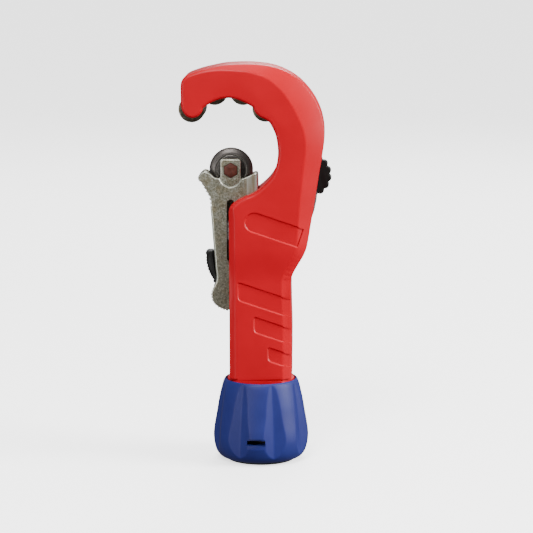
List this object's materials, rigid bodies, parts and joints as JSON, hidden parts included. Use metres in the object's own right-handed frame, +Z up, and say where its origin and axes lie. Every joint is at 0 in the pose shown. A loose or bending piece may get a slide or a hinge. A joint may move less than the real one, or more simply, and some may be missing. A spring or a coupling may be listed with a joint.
{
  "type": "pipe cutter",
  "caption": "Hand pipe cutter with a C-shaped roller jaw, a quick-set sliding cutting wheel, a fluted feed knob and a fold-out deburrer.",
  "frame": {"origin": "centre of the flat face under the knob's base cap", "axes": "+Z up the tool from the knob to the jaw, +Y from the front face to the back, the jaw opens towards -X"},
  "size_m": [0.0674, 0.0431, 0.1803],
  "materials": {
    "body_paint": "satin",
    "roller_steel": "satin dark",
    "cutter_steel": "blackened",
    "axle_steel": "bronzed",
    "bright_steel": "ground",
    "cast_zinc": "cast, tumbled",
    "brass": "machined",
    "black_plastic": "matt",
    "blue_plastic": "satin"
  },
  "bodies": {
    "body": {"body_frame": "body_paint", "roller_axle_1": "bright_steel", "roller_axle_2": "bright_steel", "roller_axle_3": "bright_steel", "roller_axle_4": "bright_steel", "deburrer_pivot_screw": "bright_steel", "detent_ball": "bright_steel", "detent_spring": "bright_steel", "thrust_washer": "brass", "retaining_ring": "bright_steel"},
    "roller_1": {"guide_roller_1": "roller_steel", "roller_bearing_1": "bright_steel"},
    "roller_2": {"guide_roller_2": "roller_steel", "roller_bearing_2": "bright_steel"},
    "roller_3": {"guide_roller_3": "roller_steel", "roller_bearing_3": "bright_steel"},
    "roller_4": {"guide_roller_4": "roller_steel", "roller_bearing_4": "bright_steel"},
    "knob": {"feed_knob": "blue_plastic", "spindle": "bright_steel", "knob_screw": "bright_steel", "knob_washer": "bright_steel"},
    "feed": {"feed_bar": "bright_steel", "feed_nut": "brass", "cross_pin": "bright_steel"},
    "slider": {"slider_carriage": "cast_zinc", "wheel_axle": "axle_steel", "axle_clip": "bright_steel", "pawl_pivot_pin": "bright_steel", "lock_spring": "bright_steel"},
    "cutter": {"cutting_wheel": "cutter_steel", "wheel_bearing": "bright_steel"},
    "lock": {"lock_pawl": "bright_steel", "lock_button": "black_plastic"},
    "deburrer": {"deburrer_hub": "black_plastic", "deburrer_blade": "bright_steel"},
    "base": {"base_cap": "black_plastic", "spare_cutting_wheel": "cutter_steel"}
  },
  "joints": [
    {"name": "roller_1_spin", "type": "hinge", "parent": "body", "child": "roller_1", "pos_m": [-0.03045, 0, 0.16011], "axis": [0, 1, 0], "continuous": true},
    {"name": "roller_2_spin", "type": "hinge", "parent": "body", "child": "roller_2", "pos_m": [-0.02025, 0, 0.16789], "axis": [0, 1, 0], "continuous": true},
    {"name": "roller_3_spin", "type": "hinge", "parent": "body", "child": "roller_3", "pos_m": [-0.00756, 0, 0.16791], "axis": [0, 1, 0], "continuous": true},
    {"name": "roller_4_spin", "type": "hinge", "parent": "body", "child": "roller_4", "pos_m": [0.00243, 0, 0.16052], "axis": [0, 1, 0], "continuous": true},
    {"name": "knob_turn", "type": "hinge", "parent": "body", "child": "knob", "pos_m": [0, 0, 0.03], "axis": [0, 0, 1], "range_deg": [-960, 960]},
    {"name": "feed_travel", "type": "slide", "parent": "body", "child": "feed", "axis": [0, 0, 1], "range_m": [-0.00402, 0.00402]},
    {"name": "quick_slide", "type": "slide", "parent": "feed", "child": "slider", "axis": [0, 0, 1], "range_m": [-0.012, 0.013]},
    {"name": "wheel_spin", "type": "hinge", "parent": "slider", "child": "cutter", "pos_m": [-0.0133, 0, 0.1325], "axis": [0, 1, 0], "continuous": true},
    {"name": "lock_press", "type": "hinge", "parent": "slider", "child": "lock", "pos_m": [-0.0173, 0, 0.0844], "axis": [0, 1, 0], "range_deg": [0, 6], "stiffness_Nm_per_rad": 0.12, "springref_deg": -8.59, "deforming": ["lock_spring"]},
    {"name": "deburrer_swing", "type": "hinge", "parent": "body", "child": "deburrer", "pos_m": [0.0212, 0.012, 0.1282], "axis": [0, -1, 0], "range_deg": [0, 150]},
    {"name": "cap_pull", "type": "slide", "parent": "knob", "child": "base", "axis": [0, 0, -1], "range_m": [0, 0.012]}
  ],
  "couplings": [
    {"joint": "feed_travel", "follows": "knob_turn", "m_per_rad": 0.00023873}
  ]
}
